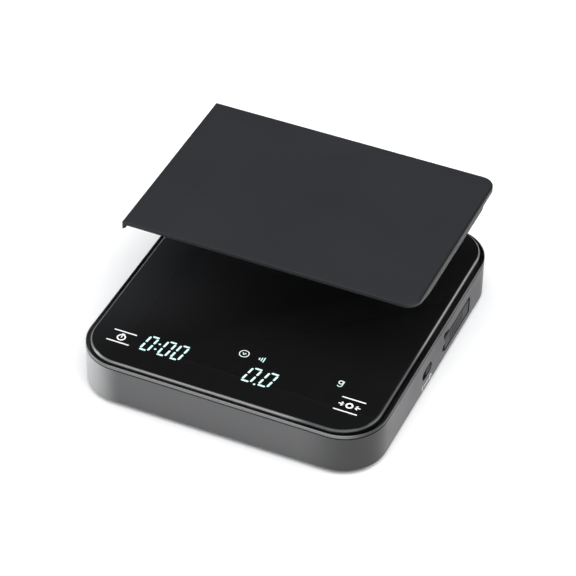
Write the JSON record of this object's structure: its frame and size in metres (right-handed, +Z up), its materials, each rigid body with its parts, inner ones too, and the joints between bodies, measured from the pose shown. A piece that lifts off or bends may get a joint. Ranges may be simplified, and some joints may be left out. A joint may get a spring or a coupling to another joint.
{
  "type": "digital gram scale",
  "caption": "Flat electronic timer scale with a black glass weighing platform, touch keys, a side switch, a covered charging port and a lift-off mat.",
  "frame": {"origin": "middle of the footprint, on the surface that the feet stand on", "axes": "+X towards the user's right, +Y towards the rear, +Z up"},
  "size_m": [0.13, 0.14, 0.0548],
  "materials": {
    "housing_paint": "satin gunmetal coating",
    "rim_metal": "fine satin ring",
    "frame_metal": "bright turned bevel",
    "cover_plastic": "fine moulded grain",
    "foot_rubber": "soft matte",
    "steel": "zinc plated",
    "cell_alloy": "milled",
    "potting": "soft white sealant",
    "board_green": "solder mask",
    "chip_black": "moulded",
    "connector_white": "moulded",
    "battery_foil": "foil pouch",
    "foam": "foam tape",
    "lead_red": "sleeve",
    "lead_white": "sleeve",
    "tray_plastic": "moulded",
    "glass_black": "polished, printed black behind",
    "mask_black": "moulded",
    "light_cyan": "lit",
    "spring_brass": "plated",
    "print_white": "ink",
    "mat_silicone": "fine matte",
    "flap_silicone": "fine matte",
    "knob_plastic": "ribbed"
  },
  "bodies": {
    "base": {"housing": "housing_paint", "rim_ring": "rim_metal", "bottom_cover": "cover_plastic", "foot_front_left": "foot_rubber", "foot_front_right": "foot_rubber", "foot_rear_left": "foot_rubber", "foot_rear_right": "foot_rubber", "bottom_screws": "steel", "load_cell": "cell_alloy", "cell_potting": "potting", "cell_base_screws": "steel", "stop_screws": "steel", "main_board": "board_green", "board_screws": "steel", "board_chips": "chip_black", "charging_socket": "steel", "switch_body": "steel", "sounder": "chip_black", "lead_sockets": "connector_white", "battery": "battery_foil", "battery_pad": "foam", "battery_lead": "lead_red", "cell_lead": "lead_white", "display_ribbon": "lead_white", "cover_pin": "steel", "switch_marks": "print_white"},
    "platform": {"platform_tray": "tray_plastic", "platform_frame": "frame_metal", "glass_panel": "glass_black", "glass_tape": "foam", "display_board": "board_green", "light_mask": "mask_black", "timer_digits": "light_cyan", "weight_digits": "light_cyan", "status_lights": "light_cyan", "timer_touch_pad": "spring_brass", "tare_touch_pad": "spring_brass", "display_screws": "steel", "cell_platform_screws": "steel", "key_marks": "print_white"},
    "mat": {"mat": "mat_silicone"},
    "port_cover": {"port_cover": "flap_silicone"},
    "switch_knob": {"switch_knob": "knob_plastic"}
  },
  "joints": [
    {"name": "platform_sink", "type": "slide", "parent": "base", "child": "platform", "axis": [0, 0, 1], "range_m": [-0.0005, 0], "stiffness_N_per_m": 30000, "deforming": ["load_cell", "display_ribbon"]},
    {"name": "mat_lift", "type": "slide", "parent": "platform", "child": "mat", "axis": [0, 0, 1], "range_m": [-0.0311, 0]},
    {"name": "port_cover_swing", "type": "hinge", "parent": "base", "child": "port_cover", "pos_m": [0.0638, 0.0373, 0.0094], "axis": [0, 0, 1], "range_deg": [0, 100]},
    {"name": "power_switch_slide", "type": "slide", "parent": "base", "child": "switch_knob", "axis": [0, 1, 0], "range_m": [-0.003, 0]}
  ]
}
